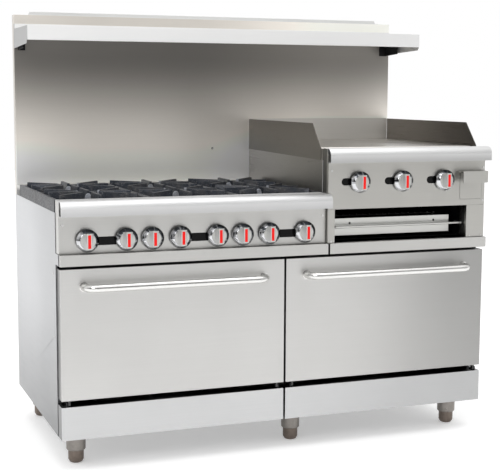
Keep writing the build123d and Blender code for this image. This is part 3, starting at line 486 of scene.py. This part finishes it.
def lathe(bm, profile, centre, axis="Y", steps=64, mat=0, smooth=True):
    """profile: (radius, height) points; closed where radius is 0."""
    rings = []
    for r, h in profile:
        if r < 1e-9:
            p = (centre[0], h, centre[1]) if axis == "Y" else (centre[0], centre[1], h)
            rings.append([bm.verts.new(p)])
            continue
        ring = []
        for i in range(steps):
            a = 2 * math.pi * i / steps
            if axis == "Y":
                ring.append(bm.verts.new((centre[0] + r * math.cos(a), h, centre[1] + r * math.sin(a))))
            else:
                ring.append(bm.verts.new((centre[0] + r * math.cos(a), centre[1] + r * math.sin(a), h)))
        rings.append(ring)
    for a, b in zip(rings, rings[1:]):
        for i in range(steps):
            j = (i + 1) % steps
            if len(a) == 1 and len(b) == 1:
                continue
            if len(a) == 1:
                f = bm.faces.new((a[0], b[i], b[j]))
            elif len(b) == 1:
                f = bm.faces.new((a[i], b[0], a[j]))
            else:
                f = bm.faces.new((a[i], b[i], b[j], a[j]))
            f.material_index = mat
            f.smooth = smooth


def block(bm, x0, x1, y0, y1, z0, z1, mat=0, bevel=0.0, seg=2):
    vs = [bm.verts.new((x, y, z)) for x in (x0, x1) for y in (y0, y1) for z in (z0, z1)]
    idx = [(0, 1, 3, 2), (4, 6, 7, 5), (0, 4, 5, 1), (2, 3, 7, 6), (0, 2, 6, 4), (1, 5, 7, 3)]
    fs = [bm.faces.new([vs[i] for i in q]) for q in idx]
    for f in fs:
        f.material_index = mat
    if bevel:
        es = list({e for f in fs for e in f.edges})
        r = bmesh.ops.bevel(bm, geom=es, offset=bevel, segments=seg, affect="EDGES", profile=0.5)
        for f in r["faces"]:
            f.material_index = mat
            f.smooth = True
    return fs


def solidify_normals(bm):
    bmesh.ops.recalc_face_normals(bm, faces=bm.faces)


# ------------------------------------------------------------------- knobs
def knob(node, body):
    lo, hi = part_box(node)
    cx, cz = (lo[0] + hi[0]) / 2, (lo[2] + hi[2]) / 2
    back = hi[1]                      # end of the stem
    panel = back - 0.019
    front = lo[1]
    bm = bmesh.new()
    y = panel
    # chrome skirt: shadowed foot, drum, wide bevel, stepped face
    R = 0.0365
    lathe(bm, [(0.0, y - 0.0015), (R - 0.0018, y - 0.0015), (R - 0.0010, y - 0.0022), (R - 0.0006, y - 0.0062)], (cx, cz), "Y", 72, 4)
    lathe(bm, [(R - 0.0006, y - 0.0062), (R - 0.0001, y - 0.0125), (R, y - 0.0138), (R - 0.0003, y - 0.0150), (R - 0.0012, y - 0.0164),
               (0.0282, y - 0.0240), (0.0270, y - 0.0250), (0.0262, y - 0.0252), (0.0255, y - 0.0249), (0.0251, y - 0.0242)], (cx, cz), "Y", 72, 0)
    # satin dial face with a shallow step
    lathe(bm, [(0.0251, y - 0.0242), (0.0243, y - 0.0246), (0.0238, y - 0.0254), (0.0, y - 0.0254)], (cx, cz), "Y", 72, 1, False)
    # tapered grip with fluted flanks and a flat front
    for k in range(8):
        d0 = 0.0250 + k * 0.0019
        w = 0.0162 - 0.0074 * (k / 7.0) ** 0.85
        block(bm, cx - w, cx + w, y - d0 - 0.0013, y - d0, cz - 0.0246 - 0.0001 * k, cz + 0.0246 + 0.0001 * k, 5, 0.0005)
        block(bm, cx - w + 0.0009, cx + w - 0.0009, y - d0 - 0.0022, y - d0 - 0.0010, cz - 0.0241, cz + 0.0241, 5)
    block(bm, cx - 0.0086, cx + 0.0086, y - 0.0420, y - 0.0400, cz - 0.0256, cz + 0.0256, 1, 0.0007)
    # red line let into the front of the grip
    block(bm, cx - 0.0048, cx + 0.0048, y - 0.04225, y - 0.0415, cz - 0.0212, cz + 0.0212, 2, 0.0003, 1)
    # stem
    lathe(bm, [(0.0, y - 0.002), (0.0040, y - 0.002), (0.0040, back), (0.0, back)], (cx, cz), "Y", 24, 3)
    solidify_normals(bm)
    ob = to_object(bm, node + "_dial", [chrome(node + "_chrome", cx, cz), satin_disc(node + "_face", cx, cz), M["red"], M["brass"], M["chrome_dark"], M["grip"]], body)
    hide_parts(node)
    return ob


for n in sorted(N):
    if "knob" in n:
        knob(n, n)

# ---------------------------------------------- black windows behind slots
XC, YC = 0.7644, 0.31715


def S(x, y, z):
    """Shop point in mm to the part's frame in metres."""
    return (x / 1000 - XC, y / 1000 - YC, z / 1000)


def window(name, x0, x1, z0, z1, ypanel):
    bm = bmesh.new()
    a, b = S(x0, ypanel + 0.35, z0), S(x1, ypanel + 1.4, z1)
    block(bm, a[0], b[0], a[1], b[1], a[2], b[2], 0, 0.0002, 1)
    solidify_normals(bm)
    return to_object(bm, name, [M["black"]], "range_body")


for i, (a, b) in enumerate(((112.0, 197.0), (419.0, 504.0), (727.0, 812.0))):
    window("pilot_window_%d" % (i + 1), a + 0.3, b - 0.3, 726.8, 753.1, -45.0)


def obround(name, x0, x1, z0, z1, ypanel):
    """Black liner with a round left end, set in a griddle pilot slot."""
    bm = bmesh.new()
    zc, r = (z0 + z1) / 2, (z1 - z0) / 2
    pts = [(x1, z0)]
    pts += [(x0 + r - r * math.cos(t), zc + r * math.sin(t)) for t in [-math.pi / 2 + math.pi * k / 24 for k in range(25)]]
    pts += [(x1, z1)]
    fr = [bm.verts.new(S(x, ypanel + 0.6, z)) for x, z in pts]
    bk = [bm.verts.new(S(x, ypanel + 1.4, z)) for x, z in pts]
    bm.faces.new(fr)
    bm.faces.new(list(reversed(bk)))
    for i in range(len(fr)):
        j = (i + 1) % len(fr)
        bm.faces.new((fr[i], bk[i], bk[j], fr[j]))
    solidify_normals(bm)
    return to_object(bm, name, [M["black"]], "range_body")


for i, x in enumerate((1031.0, 1194.0, 1357.0)):
    obround("griddle_pilot_window_%d" % (i + 1), x - 65.6, x - 20.4, 896.0, 920.2, -60.0)

# --------------------------------------- painted highlight pads on the grate fingers
def tip_pads():
    bm = bmesh.new()
    xs = ((0.6, 303.8), (306.0, 608.4), (610.6, 912.6))
    ys = ((9.0, 316.0), (319.0, 629.0))
    for x0, x1 in xs:
        for y0, y1 in ys:
            xc, yc = (x0 + x1) / 2, (y0 + y1) / 2
            # rear finger: a bell shaped pad that faces the front, in a lighter iron for painted highlight
            pts = [(-12.5, 846.0), (12.5, 846.0), (11.6, 855.0), (9.8, 862.0), (7.0, 867.5), (3.4, 870.5), (-3.4, 870.5), (-7.0, 867.5), (-9.8, 862.0), (-11.6, 855.0)]
            fr = [bm.verts.new(S(xc + u, yc + 26.6, z)) for u, z in pts]
            bk = [bm.verts.new(S(xc + u * 0.92, yc + 34.0, z)) for u, z in pts]
            bm.faces.new(fr)
            bm.faces.new(list(reversed(bk)))
            for i in range(len(fr)):
                j = (i + 1) % len(fr)
                bm.faces.new((fr[i], bk[i], bk[j], fr[j]))
            # the two rear corner fingers: narrow end pads of painted highlight
            for sx in (-1, 1):
                px, py = xc + sx * 36.0, yc + 36.0
                c, sn = math.cos(math.radians(45.0)), sx * math.sin(math.radians(45.0))
                q = []
                for off in (0.0, 5.0):
                    for u, z in ((-5.6, 850.0), (5.6, 850.0), (4.6, 880.2), (-4.6, 880.2)):
                        q.append(bm.verts.new(S(px + u * c + off * sn, py + off * c - u * sn, z)))
                for idx in ((0, 1, 2, 3), (7, 6, 5, 4), (0, 4, 5, 1), (1, 5, 6, 2), (2, 6, 7, 3), (3, 7, 4, 0)):
                    bm.faces.new([q[i] for i in idx])
    solidify_normals(bm)
    ob = to_object(bm, "grate_finger_tips", [M["iron_tip"]], "range_body")
    b = ob.modifiers.new("bevel", "BEVEL")
    b.width = 0.0008
    b.segments = 2
    return ob


tip_pads()


def trim():
    """Bright edge trim of the broiler cavity on the right."""
    bm = bmesh.new()
    a, b = S(1456.0, 1.0, 706.5), S(1461.0, 3.0, 814.5)
    block(bm, a[0], b[0], a[1], b[1], a[2], b[2], 0, 0.0005)
    solidify_normals(bm)
    return to_object(bm, "broiler_edge_trim", [M["nose"]], "range_body")


trim()


def plates():
    """Right post's folded return beside the broiler, and the bright seam of the griddle side, a strip of lighter rail
    steel that is a painted highlight on the seam.
    """
    bm = bmesh.new()
    a, b = S(1452.8, -45.6, 706.0), S(1454.0, -2.0, 814.8)
    block(bm, a[0], b[0], a[1], b[1], a[2], b[2], 0, 0.0004)
    # seam strip in the lighter rail steel: a painted highlight on a real seam
    a, b = S(913.9, -17.6, 872.5), S(914.9, -15.2, 980.0)
    block(bm, a[0], b[0], a[1], b[1], a[2], b[2], 1, 0.0003)
    solidify_normals(bm)
    return to_object(bm, "folded_returns", [M["return"], M["nose"]], "range_body")


plates()

# -------------------------------------------------------------------- stage
bm = bmesh.new()
bmesh.ops.create_grid(bm, x_segments=8, y_segments=8, size=14.0)
me = bpy.data.meshes.new("floor")
bm.to_mesh(me)
bm.free()
floor = bpy.data.objects.new("floor", me)
COLL.objects.link(floor)
fm, nt, b = new_mat("pale_floor")
fn = noise(nt, coords(nt, (2.0, 2.0, 2.0)), 1.0, 3.0)
nt.links.new(mix(nt, fn, (0.88, 0.88, 0.88), (0.92, 0.92, 0.92)), b.inputs["Base Color"])
b.inputs["Roughness"].default_value = 0.9
b.inputs["Emission Color"].default_value = (1, 1, 1, 1)
b.inputs["Emission Strength"].default_value = 0.33
b.inputs["Specular IOR Level"].default_value = 0.1
me.materials.append(fm)

# ------------------------------------------------------------------- lights
world = bpy.data.worlds.new("studio")
SCENE.world = world
world.use_nodes = True
wt = world.node_tree
wt.nodes.clear()
out = wt.nodes.new("ShaderNodeOutputWorld")
bg = wt.nodes.new("ShaderNodeBackground")
bgc = wt.nodes.new("ShaderNodeBackground")
bgc.inputs["Color"].default_value = (1, 1, 1, 1)
bgc.inputs["Strength"].default_value = 1.0
lp = wt.nodes.new("ShaderNodeLightPath")
ms = wt.nodes.new("ShaderNodeMixShader")
tc = wt.nodes.new("ShaderNodeTexCoord")
sx = wt.nodes.new("ShaderNodeSeparateXYZ")
wt.links.new(tc.outputs["Generated"], sx.inputs[0])


def wmap(src, a, b, lo, hi):
    r = wt.nodes.new("ShaderNodeMapRange")
    r.interpolation_type = "SMOOTHSTEP"
    for k, v in (("From Min", a), ("From Max", b), ("To Min", lo), ("To Max", hi)):
        r.inputs[k].default_value = v
    wt.links.new(src, r.inputs["Value"])
    return r.outputs["Result"]


def wmath(op, a, b):
    m = wt.nodes.new("ShaderNodeMath")
    m.operation = op
    for i, v in enumerate((a, b)):
        if isinstance(v, float):
            m.inputs[i].default_value = v
        else:
            wt.links.new(v, m.inputs[i])
    return m.outputs[0]


# dark room in front and above eye level, brighter to the right, white cyclorama behind
below = wmap(sx.outputs["Z"], -0.05, 0.04, 0.95, 0.0)
room = wmap(sx.outputs["X"], 0.14, 0.50, 0.03, 0.40)
mid = wmap(sx.outputs["Z"], -0.05, 0.04, 0.0, 1.0)
front = wmath("ADD", below, wmath("MULTIPLY", room, mid))
top = wmap(sx.outputs["Z"], 0.30, 0.75, 0.0, 0.92)
front = wmath("ADD", front, top)
back = wmap(sx.outputs["Z"], -0.3, 0.9, 0.72, 1.1)
side = wmap(sx.outputs["Y"], -0.55, 0.15, 0.0, 1.0)
val = wmath("ADD", wmath("MULTIPLY", front, wmath("SUBTRACT", 1.0, side)), wmath("MULTIPLY", back, side))
cr = wt.nodes.new("ShaderNodeCombineColor")
for i in range(3):
    wt.links.new(val, cr.inputs[i])
wt.links.new(cr.outputs["Color"], bg.inputs["Color"])
bg.inputs["Strength"].default_value = 1.0
wt.links.new(lp.outputs["Is Camera Ray"], ms.inputs["Fac"])
wt.links.new(bg.outputs[0], ms.inputs[1])
wt.links.new(bgc.outputs[0], ms.inputs[2])
wt.links.new(ms.outputs[0], out.inputs["Surface"])


def area(name, loc, target, sx_, sy_, power, color=(1, 1, 1)):
    d = bpy.data.lights.new(name, "AREA")
    d.shape = "RECTANGLE"
    d.size, d.size_y = sx_, sy_
    d.energy = power
    d.color = color
    o = bpy.data.objects.new(name, d)
    COLL.objects.link(o)
    o.location = loc
    o.rotation_euler = (Vector(target) - Vector(loc)).to_track_quat("-Z", "Y").to_euler()
    return o


area("top_softbox", (0.0, -0.9, 3.6), (0.0, -0.1, 0.6), 3.6, 2.4, 42.0)
area("front_left_softbox", (-2.8, -3.6, 2.9), (0.0, 0.0, 0.7), 1.8, 1.8, 45.0)
